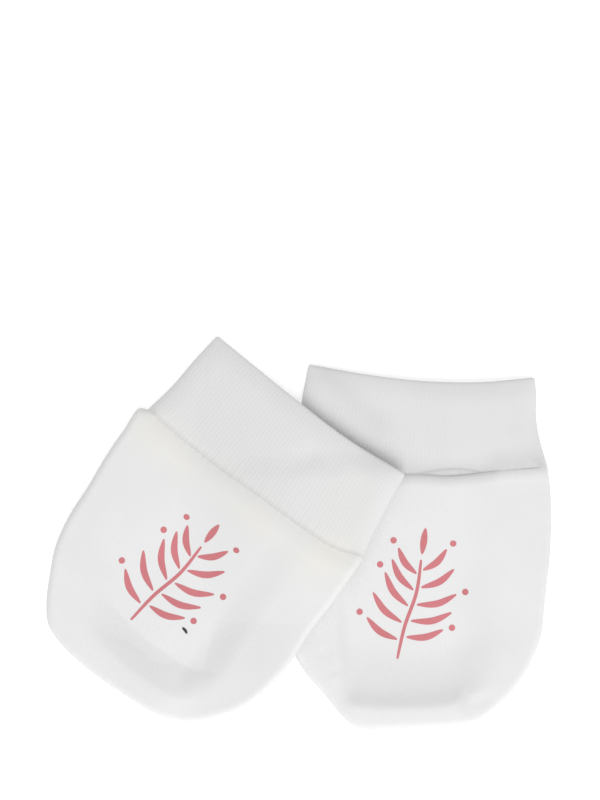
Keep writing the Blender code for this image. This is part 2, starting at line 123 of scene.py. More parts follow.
leftMitten = {
    "name": "left",
    "wrist": (-0.0119, 0.0147),
    "turn": math.radians(-33.6),
    "handSides": [
        (0.000, 0.956, 0.966),
        (0.022, 1.018, 0.967),
        (0.120, 1.022, 0.963),
        (0.221, 1.026, 0.958),
        (0.389, 1.011, 0.938),
        (0.527, 1.006, 0.945),
        (0.655, 0.965, 0.908),
        (0.744, 0.896, 0.855),
        (0.870, 0.776, 0.700),
        (0.925, 0.690, 0.595),
        (0.959, 0.545, 0.484),
        (0.983, 0.303, 0.345),
        (0.990, 0.105, 0.184),
    ],
    "cuffSides": [
        (0.00, 0.956, 0.964),
        (0.36, 0.900, 0.925),
        (0.67, 0.873, 0.900),
        (1.00, 0.832, 0.880),
    ],
    "mouth": [(0.00, 0.995), (0.20, 0.950), (0.45, 0.897), (0.72, 0.860), (1.00, 0.885)],
    "seamBow": [
        (-1.00, -0.0002), (-0.70, 0.0015), (-0.30, 0.0027), (0.10, 0.0031), (0.45, 0.0036),
        (0.78, 0.0031), (0.92, 0.0015), (1.00, 0.0011),
    ],
    "handDip": (0.0010, 0.0060),
    "cuffLip": (0.0005, 0.0016),
    "tipRidge": {
        "path": [
            (-0.0310, -0.0530), (-0.0210, -0.0596), (-0.0126, -0.0615), (-0.0022, -0.0638),
            (0.0079, -0.0640), (0.0138, -0.0638), (0.0188, -0.0613), (0.0230, -0.0580),
        ],
        "crest": (0.0001, 0.0050, 0.0070),
        "sag": 0.0026,
        "onset": 0.0014,
        "reach": 0.0092,
        "power": 1,
        "back": 0.0600,
        "fade": (0.50, 0.21),
    },
    "handCreases": [
        (0.0002, 0.0090, 0.0018, [
            (-0.0120, -0.0580), (-0.0030, -0.0565), (0.0050, -0.0570), (0.0122, -0.0515),
        ]),
        (0.0001, 0.0014, 0.0070, [
            (0.0180, -0.0556), (0.0150, -0.0471), (0.0140, -0.0400), (0.0137, -0.0360),
        ]),
        (0.0007, 0.0080, 0.0080, [
            (0.0120, -0.0722), (0.0200, -0.0690), (0.0290, -0.0610), (0.0370, -0.0440),
        ]),
    ],
    "backCreases": [
        (0.0003, 0.0032, 0.0024, [(-0.0160, -0.0595), (0.0120, -0.0580)]),
        (0.0004, 0.0035, 0.0050, [(-0.0200, -0.0080), (-0.0140, -0.0300), (-0.0200, -0.0450)]),
        (0.0003, 0.0025, 0.0035, [(0.0060, -0.0060), (0.0020, -0.0230)]),
    ],
    "cuffCreases": [
        (0.0002, 0.0030, 0.0030, [(0.0030, 0.0045), (0.0106, 0.0195)]),
        (0.0006, 0.0120, 0.0130, [(-0.0360, -0.0100), (-0.0310, 0.0400)]),
    ],
    "lapped": rightMitten,
}


# Curves and measures in the plane


def smoothCurve(rows, count=200):
    # a cubic through the rows, whose slope at a row is that of its neighbours; knots by chord length
    rows = np.array(rows, float)
    knots = np.concatenate([[0.0], np.cumsum(np.linalg.norm(np.diff(rows, axis=0), axis=1))])
    slopes = np.gradient(rows, knots, axis=0)
    places = np.linspace(0.0, knots[-1], count)
    k = np.clip(np.searchsorted(knots, places, side="right") - 1, 0, len(knots) - 2)
    step = (knots[k + 1] - knots[k])[:, None]
    t = (places - knots[k])[:, None] / step
    start = (1 + 2 * t) * (1 - t) ** 2 * rows[k] + t * (1 - t) ** 2 * step * slopes[k]
    end = t**2 * (3 - 2 * t) * rows[k + 1] + t**2 * (t - 1) * step * slopes[k + 1]
    return start + end


def offsetFrom(path, points, atOnce=3_000_000):
    # how far each point lies to the left of a line of points, the way there, and the length run
    # along the line: the nearest place on a stretch is the point's share of it, kept from 0 to 1;
    # atOnce is how many distances are held at a time
    start, run = path[:-1], np.diff(path, axis=0)
    length = np.linalg.norm(run, axis=1)
    ran = np.cumsum(length) - length
    left = np.stack([-run[:, 1], run[:, 0]], axis=1) / length[:, None]
    found = []
    for some in np.array_split(points, 1 + len(points) * len(start) // atOnce):
        fromStart = some[:, None] - start
        share = np.clip((fromStart * run).sum(axis=2) / length**2, 0.0, 1.0)
        away = fromStart - share[..., None] * run
        nearest = (away**2).sum(axis=2).argmin(axis=1)
        each = np.arange(len(some))
        away = away[each, nearest]
        side = np.where((away * left[nearest]).sum(axis=1) < 0, -1.0, 1.0)
        distance = side * np.linalg.norm(away, axis=1)
        along = ran[nearest] + share[each, nearest] * length[nearest]
        found.append(np.column_stack([distance, left[nearest], along]))
    found = np.concatenate(found)
    return found[:, 0], found[:, 1:3], found[:, 3]


def quarterRound(share, power=2.0):
    # 0 at the edge and 1 from share 1 on, along a quarter of a circle; a higher power makes it
    # squarer: the root of one less a power of what is left of the way
    return (1 - (1 - np.clip(share, 0.0, 1.0)) ** power) ** (1 / power)


def easedOut(share):
    # 1 at the start, and slowing to 0 at share 1: the square of what is left of the way
    return (1 - np.clip(share, 0.0, 1.0)) ** 2


def smoothStep(share):
    # 0 up to the start and 1 from share 1 on, level at both: three squares less two cubes
    share = np.clip(share, 0.0, 1.0)
    return share**2 * (3 - 2 * share)


def bySeam(heightAndReach, distance):
    # a height at the seam, times the square of what is left of its reach
    height, reach = heightAndReach
    return height * easedOut(distance / reach)


# Folds in the cloth
fold = {
    "pathPoints": 24,  # of the curve that a crease or a streak follows
    "ridgePoints": 80,
    "fade": 0.25,  # share of a crease's path in which it fades out at each end
}


def creaseDepth(points, creases):
    # the sum of the creases: depth times a bell curve of the distance, which fades out at both ends
    # of the path as a smooth step
    total = np.zeros(len(points))
    for depth, left, right, line in creases:
        path = smoothCurve(line, fold["pathPoints"])
        distance, _, along = offsetFrom(path, points)
        length = np.linalg.norm(np.diff(path, axis=0), axis=1).sum()
        fromEnd = np.minimum(along, length - along) / length
        bell = np.exp(-((distance / np.where(distance > 0, left, right)) ** 2))
        total += depth * bell * smoothStep(fromEnd / fold["fade"])
    return total


def tipSag(points, ridge):
    # going up the hand from the ridge: the way gone is a square over twice the onset, and past
    # that the distance less half of it; the sag is one less a power of what is left of the reach,
    # and then comes back half evenly and half as a smooth step; the crest, a bell curve, is taken
    # off it, and the whole fades out at both ends of the ridge
    x, y = smoothCurve(ridge["path"], fold["ridgePoints"]).T
    distance = points[:, 1] - np.interp(points[:, 0], x, y)
    begun = np.clip(distance, 0.0, ridge["onset"])
    gone = begun**2 / (2 * ridge["onset"]) + np.maximum(distance - ridge["onset"], 0.0)
    sag = 1 - (1 - np.clip(gone / ridge["reach"], 0.0, 1.0)) ** ridge["power"]
    back = np.clip((gone - ridge["reach"]) / ridge["back"], 0.0, 1.0)
    sag *= ridge["sag"] * (1 - (back + smoothStep(back)) / 2)
    height, up, down = ridge["crest"]
    sag -= height * np.exp(-((distance / np.where(distance > 0, up, down)) ** 2))
    width = x[-1] - x[0]
    left = (points[:, 0] - x[0]) / (ridge["fade"][0] * width)
    right = (x[-1] - points[:, 0]) / (ridge["fade"][1] * width)
    return sag * smoothStep(left) * smoothStep(right)


# Both hands: a front and a back of smooth jersey, sewn together round the fingertips
hand = {
    "halfWidth": 0.0380,
    "length": 0.0710,  # wrist seam to fingertip edge
    "wall": 0.0010,  # the jersey's own thickness
    "gap": 0.00001,  # between pieces at a seam
    "seamHeight": 0.0019,  # of the side seam
    "rise": 0.0031,  # of the front above the side seam
    "crown": 0.0006,  # more in the middle
    "crownReach": 0.0300,
    "frontRound": 0.0024,  # from the sewn edge to the full rise
    "frontPower": 2.8,  # 2 is a quarter of a circle, more is squarer
    "backRound": 0.0024,
    "puckerDepth": 0.00007,  # gathers that the thread pulls along the seams
    "puckerReach": 0.0022,
    "puckers": [(0.0023, 0.0), (0.0031, 1.3), (0.0052, 4.1)],  # lengths and phases of their waves
    "bowReach": 0.0240,  # how far from the wrist seam the cloth follows its bowed line
    "frontRoll": 0.0016,  # of the cut, taken up by the rolled edge all round
    "backRoll": 0.0009,
    "frontGrid": (170, 190),  # rows and columns
    "backGrid": (90, 110),
    "edgeRows": 8,  # one row in so many lies by the wrist seam, and as many by the tips
    "seamPower": 1.6,  # those by the wrist seam crowd towards it, and more with a higher power
}


def handSides(mitten):
    # rows of distance from the wrist seam, and widths to the left and right
    return smoothCurve(mitten["handSides"]) * (hand["length"], hand["halfWidth"], hand["halfWidth"])


def sewnEdge(mitten):
    # the seam round the hand: down the left side, along the fingertips and up the right side
    along, left, right = handSides(mitten).T
    down = np.stack([-left, -along], axis=1)
    up = np.stack([right, -along], axis=1)[::-1]
    return np.concatenate([down, up])


def handGrid(mitten, rows, columns):
    # rows of points from the wrist to the tips: by the wrist spaced as a power of the way, by the
    # tips as its sine and evenly between, and each row as the cosine from side to side; with their
    # inset from the sewn edge, the way in and the run along it
    sides = handSides(mitten)
    length, dip, tip = sides[-1, 0], mitten["handDip"][1], hand["frontRound"]
    byEdge = rows // hand["edgeRows"]
    first = hand["gap"] / 2 + dip * np.linspace(0.0, 1.0, byEdge) ** hand["seamPower"]
    last = length - tip * (1 - np.sin(np.linspace(0.0, math.pi / 2, byEdge)))
    middle = np.linspace(first[-1], last[0], rows - 2 * byEdge + 2)[1:-1]
    y = np.concatenate([first, middle, last])
    left = np.interp(y, sides[:, 0], sides[:, 1])
    right = np.interp(y, sides[:, 0], sides[:, 2])
    across = (1 - np.cos(np.linspace(0.0, math.pi, columns))) / 2
    x = -left[:, None] + (left + right)[:, None] * across
    points = np.stack([x, np.broadcast_to(-y[:, None], x.shape)], axis=2)
    inset, inward, along = offsetFrom(sewnEdge(mitten), points.reshape(-1, 2))
    inset = inset.reshape(x.shape)
    inset[:, 0] = inset[:, -1] = inset[-1] = 0.0
    return points, inset, inward.reshape(points.shape), along.reshape(x.shape)


def movedIn(points, inset, inward):
    # the grid of a wall's inner side: its edge lies one wall in, and the shift runs out evenly
    # over twice the front's round edge
    shift = hand["wall"] * (1 - np.minimum(inset / (2 * hand["frontRound"]), 1.0))
    return points + shift[..., None] * inward, inset + shift - hand["wall"]


def waves(along):
    # uneven gathers, between -1 and 1: the mean of a few sines whose lengths share no measure
    puckers = hand["puckers"]
    return sum(np.sin(along * 2 * math.pi / length + phase) for length, phase in puckers) / len(puckers)


def frontRise(mitten, flat, inset, along):
    # plain rise and crown, less the dip to the wrist seam, the sag before the tips and the creases,
    # plus the gathers, which die away from the sewn edge and from the wrist seam
    rise = hand["rise"] + hand["crown"] * smoothStep(inset / hand["crownReach"])
    rise -= bySeam(mitten["handDip"], -flat[:, 1])
    rise -= tipSag(flat, mitten["tipRidge"]) + creaseDepth(flat, mitten["handCreases"])
    rise += hand["puckerDepth"] * waves(along) * np.exp(-inset / hand["puckerReach"])
    rise += hand["puckerDepth"] * waves(flat[:, 0]) * np.exp(flat[:, 1] / hand["puckerReach"])
    return rise


def frontHeight(rise, inset, wall=0.0):
    # seam height, plus the rise above it times a quarter round of the inset
    bulge = quarterRound(inset / (hand["frontRound"] - wall), hand["frontPower"])
    return hand["seamHeight"] + hand["gap"] / 2 + (rise - wall) * bulge


def frontSides(mitten):
    # the front's outer and inner sides, and each point's place on the flat cloth
    points, inset, inward, along = handGrid(mitten, *hand["frontGrid"])
    rise = frontRise(mitten, points.reshape(-1, 2), inset.ravel(), along.ravel())
    rise = rise.reshape(inset.shape)
    inPoints, inInset = movedIn(points, inset, inward)
    outer = np.dstack([points, frontHeight(rise, inset)])
    inner = np.dstack([inPoints, frontHeight(rise, inInset, hand["wall"])])
    return outer, inner, points


def backSides(mitten):
    # the back's sides: seam height, less the way down to the surface times a quarter round of the
    # inset; creases and gathers lift it off the surface
    points, inset, inward, along = handGrid(mitten, *hand["backGrid"])
    lift = creaseDepth(points.reshape(-1, 2), mitten["backCreases"]).reshape(inset.shape)
    lift += hand["puckerDepth"] * (1 + waves(along)) * np.exp(-inset / hand["puckerReach"])
    inPoints, inInset = movedIn(points, inset, inward)

    def height(inset, wall):
        top = hand["seamHeight"] - hand["gap"] / 2
        return top - (top - wall - lift) * quarterRound(inset / (hand["backRound"] - wall))

    outer = np.dstack([points, height(inset, 0.0)])
    inner = np.dstack([inPoints, height(inInset, hand["wall"])])
    return outer, inner, points


# Both cuffs: a tube of fine one by one rib, folded double, with the fold at the mouth
cuff = {
    "length": 0.0280,  # wrist seam to the fold
    "width": 0.0684,  # side to side, halfway up
    "wall": 0.0015,  # two layers of rib
    "rise": 0.0027,  # of the cuff above the side seam
    "topRound": 0.0066,  # from the side edge to the full rise
    "seamRound": 0.0028,  # the same at the wrist seam, as square as the hand
    "roundReach": 0.0070,  # from the seam, over which the one becomes the other
    "underRound": 0.0030,
    "droop": 0.0012,  # of the top at the mouth
    "droopReach": 0.0062,
    "areaShare": 0.93,  # of its girth times its length, which the narrower mouth leaves
    "ribCount": 130,  # all round
    "ribDepth": 0.00004,
    "columnsPerRib": 6,
    "girthSteps": 4000,  # in which the girth is measured
    "seamRows": 22,  # in the first seamReach from the wrist
    "seamReach": 0.0034,
    "seamPower": 1.3,  # by which they crowd towards it
    "outsideRows": 26,
    "foldRows": 9,
    "insideRows": 8,
}


def girthPlaces():
    # places across the cuff, even along its girth, on the top and then back along the underside,
    # the share of the girth run at each, and the girth: the length of both halves' lines
    across = (1 - np.cos(np.linspace(0.0, math.pi, cuff["girthSteps"]))) / 2
    inset = np.minimum(across, 1 - across) * cuff["width"]

    def ran(height, reach):
        line = np.column_stack([across * cuff["width"], height * quarterRound(inset / reach)])
        return np.concatenate([[0.0], np.cumsum(np.linalg.norm(np.diff(line, axis=0), axis=1))])

    overTop, below = ran(cuff["rise"], cuff["topRound"]), ran(hand["seamHeight"], cuff["underRound"])
    even = np.linspace(0.0, 1.0, cuff["ribCount"] * cuff["columnsPerRib"] // 2 + 1)
    top = np.interp(even * overTop[-1], overTop, across)
    under = np.interp(even * below[-1], below, across)
    girth = overTop[-1] + below[-1]
    share = np.concatenate([even * overTop[-1], overTop[-1] + even[1:-1] * below[-1]]) / girth
    return top, under[-2:0:-1], share, girth


def cuffHalf(mitten, across, share, depth, sign):
    # the top (sign 1) or the underside (-1): seam height, plus or less the height of that half
    # times a quarter round of the inset; depth is how far into the wall a row lies. The top's
    # round edge is tighter by the wrist seam, where it meets the hand's
    sides = smoothCurve(mitten["cuffSides"])
    left = np.interp(share, sides[:, 0], sides[:, 1]) * hand["halfWidth"]
    right = np.interp(share, sides[:, 0], sides[:, 2]) * hand["halfWidth"]
    wide = (left + right) * across
    x = depth - left + wide * (1 - 2 * depth / (left + right))
    length = np.interp(across, *smoothCurve(mitten["mouth"]).T) * cuff["length"]
    y = hand["gap"] / 2 + share * (length - hand["gap"] / 2)
    inset = np.minimum(x + left - depth, right - depth - x)
    if sign < 0:
        bulge = quarterRound(inset / (cuff["underRound"] - depth))
        return np.dstack([x, y, hand["seamHeight"] - (hand["seamHeight"] - depth) * bulge])
    flat = np.column_stack([x.ravel(), y.ravel()])
    rise = cuff["rise"] + bySeam(mitten["cuffLip"], y)
    rise -= cuff["droop"] * easedOut((length - y) / cuff["droopReach"])
    rise -= creaseDepth(flat, mitten["cuffCreases"]).reshape(x.shape)
    rise += hand["puckerDepth"] * waves(x) * np.exp(-y / hand["puckerReach"])
    toSeam = (cuff["seamRound"] - cuff["topRound"]) * easedOut(y / cuff["roundReach"])
    bulge = quarterRound(inset / (cuff["topRound"] + toSeam - depth))
    return np.dstack([x, y, hand["seamHeight"] + (rise - depth) * bulge])


def cuffRings(mitten):
    # rings up the outside, round the fold at the mouth and down the inside; each is the plain
    # ring, sunk along its normal by the ribs' depth times half of one less their cosine
    halfFold = cuff["wall"] / 2
    straight = 1 - halfFold / cuff["length"]
    seamShare = cuff["seamReach"] / cuff["length"]
    near = seamShare * np.linspace(0.0, 1.0, cuff["seamRows"]) ** cuff["seamPower"]
    far = np.linspace(seamShare, straight, cuff["outsideRows"])[1:]
    turn = np.linspace(0.0, math.pi, cuff["foldRows"] + 2)[1:-1]
    down = np.linspace(straight, 0.0, cuff["insideRows"])
    share = np.concatenate([near, far, straight + (1 - straight) * np.sin(turn), down])[:, None]
    depth = np.zeros(len(share))
    depth[len(near) + len(far) : -len(down)] = halfFold * (1 - np.cos(turn))
    depth[-len(down) :] = cuff["wall"]
    depth = depth[:, None]
    top, under, girthShare, girth = girthPlaces()
    above = cuffHalf(mitten, top[None], share, depth, 1)
    below = cuffHalf(mitten, under[None], share, depth, -1)
    rings = np.concatenate([above, below], axis=1)
    around = np.roll(rings, -1, axis=1) - np.roll(rings, 1, axis=1)
    normal = np.cross(around, np.gradient(rings, axis=0))
    normal /= np.linalg.norm(normal, axis=2, keepdims=True)
    sunk = cuff["ribDepth"] * (1 - np.cos(2 * math.pi * cuff["ribCount"] * girthShare)) / 2
    onCloth = np.dstack([np.broadcast_to(girthShare * girth, rings.shape[:2]), rings[..., 1]])
    return rings - sunk[None, :, None] * normal, onCloth


# Where a mitten lies


def placed(mitten, points):
    # the mitten's frame, bowed with its wrist seam, turned about the wrist and moved to its place
    cos, sin = math.cos(mitten["turn"]), math.sin(mitten["turn"])
    x, y, z = points[..., 0], points[..., 1], points[..., 2]
    drop = np.interp(x / hand["halfWidth"], *smoothCurve(mitten["seamBow"]).T)
    y = y - drop * (1 - smoothStep(np.abs(y) / hand["bowReach"]))
    worldX = mitten["wrist"][0] + x * cos - y * sin
    worldY = mitten["wrist"][1] + x * sin + y * cos
    if mitten["lapped"]:
        flat = np.column_stack([worldX.ravel(), worldY.ravel()])
        z = z + liftOver(mitten["lapped"], flat).reshape(z.shape)
    return np.stack([worldX, worldY, z], axis=-1)


# Where the left mitten climbs over the edge of the right one
lap = {
    "run": (0.0200, 0.0280),  # it starts to rise this far outside that edge, by the tips and wrist
    "runFrom": -0.0450,  # the run changes from here, in the lower mitten's frame
    "runOver": 0.0350,  # over this much of its length
    "reach": (0.0055, 0.0030),  # and lies level this far inside it
    "tilt": 0.06,  # its slope further inside
    "tilted": 0.0120,  # for this much
    "clear": 0.0003,  # left between the two
    "blend": 0.0080,  # its step down from the hand to the cuff
    "straightFrom": -0.0400,  # past here it takes no notice of the lower mitten's rounded corner
    "straight": 0.0500,  # and goes on for this far
    "lean": 0.26,  # outwards, as a share of that
}


def leftFlank(mitten):
    # the left edge of a mitten from the mouth of its cuff to where it starts to round off, and on
    # from there along a straight line that leans outwards by a share of its length
    along, left, _ = smoothCurve(mitten["cuffSides"]).T
    cornerY = mitten["mouth"][0][1] * cuff["length"]
    side = np.column_stack([-left * hand["halfWidth"], along * cornerY])
    edge = sewnEdge(mitten)
    edge = edge[: len(edge) // 2]
    edge = edge[edge[:, 1] > lap["straightFrom"]]
    end = edge[-1] - lap["straight"] * np.array([lap["lean"], 1.0])
    return np.concatenate([side[:0:-1], edge, [end]])


def liftOver(mitten, world):
    # the height of the mitten underneath, times a ramp from outside its edge to inside, half of it
    # even and half a smooth step; then a gentler slope for some way
    cos, sin = math.cos(mitten["turn"]), math.sin(mitten["turn"])
    away = world - mitten["wrist"]
    own = np.stack([away @ (cos, sin), away @ (-sin, cos)], axis=1)
    inset, _, _ = offsetFrom(leftFlank(mitten), own)
    handTop = hand["seamHeight"] + hand["rise"] + hand["crown"]
    cuffTop = hand["seamHeight"] + cuff["rise"]
    top = handTop + (cuffTop - handTop) * smoothStep(own[:, 1] / lap["blend"])
    toWrist = smoothStep((own[:, 1] - lap["runFrom"]) / lap["runOver"])
    run, reach = (tips + (wrist - tips) * toWrist for tips, wrist in (lap["run"], lap["reach"]))
    share = np.clip((inset + run) / (run + reach), 0.0, 1.0)
    further = lap["tilt"] * np.clip(inset - reach, 0.0, lap["tilted"])
    return (top + lap["clear"]) * (share + smoothStep(share)) / 2 + further


# Meshes


def addObject(name, data):
    # in the scene, at the origin
    thing = bpy.data.objects.new(name, data)
    bpy.context.scene.collection.objects.link(thing)
    return thing


def closedShell(outer, inner):
    # corners and faces of a wall between two grids of points, joined all round their edges
    rows, columns = outer.shape[:2]
    index = np.arange(rows * columns).reshape(rows, columns)
    quads = np.stack([index[:-1, :-1], index[1:, :-1], index[1:, 1:], index[:-1, 1:]], axis=2)
    quads = quads.reshape(-1, 4)
    rim = np.concatenate([index[0, :-1], index[:-1, -1], index[-1, :0:-1], index[:0:-1, 0]])
    onward, inside = np.roll(rim, -1), index.size
    walls = np.stack([rim, onward, onward + inside, rim + inside], axis=1)
    faces = np.concatenate([quads, quads[:, ::-1] + inside, walls])
    return np.concatenate([outer.reshape(-1, 3), inner.reshape(-1, 3)]), faces


def closedTube(rings):
    # corners and faces of a wall whose rings follow one another and come back to the first
    count, around = rings.shape[:2]
    index = np.arange(count * around).reshape(count, around)
    onward, across = np.roll(index, -1, axis=0), np.roll(index, -1, axis=1)
    both = np.roll(onward, -1, axis=1)
    return rings.reshape(-1, 3), np.stack([index, across, both, onward], axis=2).reshape(-1, 4)


def facingOut(corners, faces):
    # the faces, turned round if the volume that they close is negative
    a, b, c, d = (corners[faces[:, k]] for k in range(4))
    volume = (a * np.cross(b, c)).sum() + (a * np.cross(c, d)).sum()
    return faces if volume > 0 else faces[:, ::-1]


sharpFrom = math.radians(60)  # edges that turn by more than this stay sharp


def addPiece(name, corners, faces, onCloth, material, girth=math.inf, values=None):
    # one closed piece, with its places on the flat cloth as its UV map and its values at each
    # corner; on a tube, the corners past the first column are taken one girth on
    faces = facingOut(corners, faces)
    mesh = bpy.data.meshes.new(name)
    mesh.from_pydata(corners.tolist(), [], faces.tolist())
    places = onCloth[faces]
    past = places[..., 0].max(axis=1, keepdims=True) - places[..., 0] > girth / 2
    places[..., 0] += np.where(past, girth, 0.0)
    layer = mesh.uv_layers.new(name="clothMap")
    layer.uv.foreach_set("vector", places.astype(np.float32).ravel())
    for label, value in (values or {}).items():
        ageAndPaintedShade = mesh.attributes.new(label, "FLOAT", "POINT")
        ageAndPaintedShade.data.foreach_set("value", value.astype(np.float32))
    mesh.materials.append(material)
    mesh.shade_smooth()
    mesh.set_sharp_from_angle(angle=sharpFrom)
    piece = addObject(name, mesh)
    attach(piece, "root")
    return piece


# The print: a leafy sprig in coral brush strokes, drawn with its middle at (0, 0)
sprig = {
    "stem": [(-0.0046, -0.0185), (-0.0030, -0.0090), (-0.0002, 0.0010), (0.0006, 0.0105)],
    "stemWidth": 0.0010,
    "stemTaper": 0.2,
    "stemRows": 60,
    "stemSteps": 100,  # places along it where a leaf can stand
    # a leaf on each side: share of the way up the stem, length, and degrees from the stem
    "leaves": [
        (0.20, 0.0112, 66),
        (0.36, 0.0124, 60),
        (0.52, 0.0122, 55),
        (0.68, 0.0112, 49),
        (0.84, 0.0094, 42),
    ],
    "topLeaf": 0.0078,
    "leafWidth": 0.0019,
    "leafTaper": 0.7,
    "leafGap": 0.0009,  # from the stem
    "stagger": 0.02,  # share of the stem by which the right leaves stand higher
    "bend": 0.10,  # of a leaf's length
    "berries": [0, 2, 4],  # the pairs of leaves with a berry beyond each tip
    "berryGap": 0.0022,
    "berry": 0.0009,
    "above": 0.00005,  # over the cloth
    "below": 0.00010,  # and into it
}


def stroke(path, width, taper, rows=28, columns=5):
    # a strip along a smooth path; its half width is a power of the sine of the way along, so a
    # small power leaves it even with round ends and a large one makes a spindle
    path = smoothCurve(path, rows + 2)[1:-1]
    run = np.gradient(path, axis=0)
    run /= np.linalg.norm(run, axis=1, keepdims=True)
    square = np.stack([run[:, 1], -run[:, 0]], axis=1)
    share = np.linspace(0.0, 1.0, rows + 2)[1:-1]
    half = width / 2 * np.sin(math.pi * share) ** taper
    side = np.linspace(-1.0, 1.0, columns)
    return path[:, None] + (half[:, None] * side)[..., None] * square[:, None]


def disc(centre, radius, count=9):
    # a square grid drawn in to a circle: each coordinate times the root of one less half the
    # other one's square
    u, v = np.meshgrid(np.linspace(-1.0, 1.0, count), np.linspace(-1.0, 1.0, count))
    return centre + radius * np.dstack([u * np.sqrt(1 - v**2 / 2), v * np.sqrt(1 - u**2 / 2)])


def sprigPatches():
    # the stem, a leaf at its top, and pairs of leaves and berries, each a grid of points; a leaf
    # bows by a share of its length, square to it, and stands a little away from the stem
    stem = smoothCurve(sprig["stem"], sprig["stemSteps"] + 1)
    heading = np.gradient(stem, axis=0)
    patches = [stroke(sprig["stem"], sprig["stemWidth"], sprig["stemTaper"], sprig["stemRows"])]

    def leaf(share, length, degrees, bend):
        place = round(share * sprig["stemSteps"])
        angle = math.atan2(heading[place, 0], heading[place, 1]) + math.radians(degrees)
        ahead = np.array([math.sin(angle), math.cos(angle)])
        aside = np.array([math.cos(angle), -math.sin(angle)])
        root = stem[place] + sprig["leafGap"] * ahead
        middle = root + length / 2 * ahead + bend * length * aside
        tip = root + length * ahead
        blade = stroke([root, middle, tip], sprig["leafWidth"], sprig["leafTaper"])
        return blade, tip + sprig["berryGap"] * ahead

    patches.append(leaf(1.0, sprig["topLeaf"], 0, 0.0)[0])
    for pair, (share, length, degrees) in enumerate(sprig["leaves"]):
        for side in (-1, 1):
            higher = share + side * sprig["stagger"]
            patch, beyond = leaf(higher, length, side * degrees, side * sprig["bend"])
            patches.append(patch)
            if pair in sprig["berries"]:
                patches.append(disc(beyond, sprig["berry"]))
    return patches


def upward(patch):
    # the grid, turned over if its rows and columns run clockwise
    down, across = patch[1:, :-1] - patch[:-1, :-1], patch[:-1, 1:] - patch[:-1, :-1]
    area = (down[..., 0] * across[..., 1] - down[..., 1] * across[..., 0]).sum()
    return patch if area > 0 else patch[:, ::-1]


def laidOn(mitten, patches, place, slab):
    # patches turned and laid on the front at a place: thin slabs from a little below the cloth to
    # a little above it
    (atX, atY), cos, sin = place["at"], math.cos(place["turn"]), math.sin(place["turn"])
    corners, faces, places, count = [], [], [], 0
    for patch in patches:
        x, y = np.moveaxis(upward(patch), -1, 0)
        flat = np.dstack([atX + x * cos - y * sin, atY + x * sin + y * cos])
        points = flat.reshape(-1, 2)
        inset, _, along = offsetFrom(sewnEdge(mitten), points)
        height = frontHeight(frontRise(mitten, points, inset, along), inset).reshape(flat.shape[:2])
        over, under = height + slab["above"], height - slab["below"]
        shell, quads = closedShell(np.dstack([flat, over]), np.dstack([flat, under]))
        corners.append(shell)
        faces.append(quads + count)
        places += [points, points]
        count += len(shell)
    return placed(mitten, np.concatenate(corners)), np.concatenate(faces), np.concatenate(places)


# Effects that several materials use, as node groups


def newGroup(name, inputs, outputs):
    # an empty node group with named sockets: each a name, a type and, for an input, its value
    group = bpy.data.node_groups.new(name, "ShaderNodeTree")
    for label, kind, value in inputs:
        socket = group.interface.new_socket(label, in_out="INPUT", socket_type=kind)
        if value is not None:
            socket.default_value = value
    for label, kind in outputs:
        group.interface.new_socket(label, in_out="OUTPUT", socket_type=kind)
    return group, group.nodes.new("NodeGroupInput"), group.nodes.new("NodeGroupOutput")


def feed(tree, socket, value):
    # a link if the value is another node's output, and else a fixed value
    if isinstance(value, bpy.types.NodeSocket):
        tree.links.new(value, socket)
    else:
        socket.default_value = value


def calc(tree, operation, *values, clamp=False):
    # the result of one sum on its values in turn, kept from 0 to 1 if clamped
    node = tree.nodes.new("ShaderNodeMath")
    node.operation, node.use_clamp = operation, clamp
    for socket, value in zip(node.inputs, values):
        feed(tree, socket, value)
    return node.outputs[0]


def noise(tree, place, scale, detail=2.0):
    # smooth noise between 0 and 1, of so many blobs in a metre
    node = tree.nodes.new("ShaderNodeTexNoise")
    node.inputs["Scale"].default_value = scale
    node.inputs["Detail"].default_value = detail
    tree.links.new(place, node.inputs["Vector"])
    return node.outputs["Fac"]


def mixColour(tree, factor, first, second, blend="MIX"):
    # the first colour, taken by the factor to the second or to their blend
    node = tree.nodes.new("ShaderNodeMix")
    node.data_type, node.blend_type = "RGBA", blend
    for label, value in (("Factor_Float", factor), ("A_Color", first), ("B_Color", second)):
        feed(tree, next(s for s in node.inputs if s.identifier == label), value)
    return next(s for s in node.outputs if s.identifier == "Result_Color")


knitLook = {
    "fibreScale": 4000.0,  # blobs in a metre
    "loop": 0.6,  # share of its height that comes and goes along a stitch's leg
}


